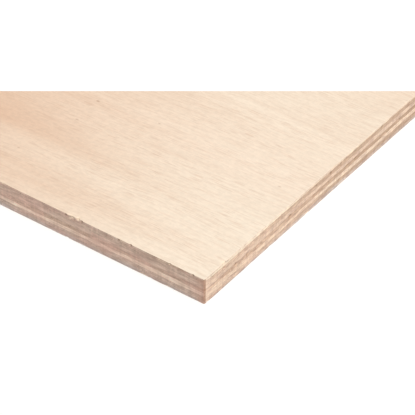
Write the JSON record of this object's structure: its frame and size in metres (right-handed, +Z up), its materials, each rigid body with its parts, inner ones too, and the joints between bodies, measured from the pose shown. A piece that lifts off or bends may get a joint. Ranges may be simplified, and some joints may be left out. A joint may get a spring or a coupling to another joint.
{
  "type": "plywood sheet",
  "caption": "Flat rectangular plywood sheet of crosswise glued hardwood plies with a pale sanded face, for sheathing, shelves and joinery.",
  "frame": {"origin": "middle of the underside, where the sheet lies on a level floor", "axes": "+X along the face grain and the long side, +Y across the grain along the short side, +Z up through the thickness, out of the face"},
  "size_m": [2.44, 1.22, 0.018],
  "materials": {
    "face_veneer": "sanded, unfinished",
    "crossband": "sawn, unfinished",
    "long_band": "sawn, unfinished",
    "back_veneer": "sanded, unfinished"
  },
  "bodies": {
    "root": {"back_veneer": "back_veneer", "lower_crossband": "crossband", "lower_long_band": "long_band", "core": "crossband", "upper_long_band": "long_band", "upper_crossband": "crossband", "face_veneer": "face_veneer"}
  },
  "joints": []
}
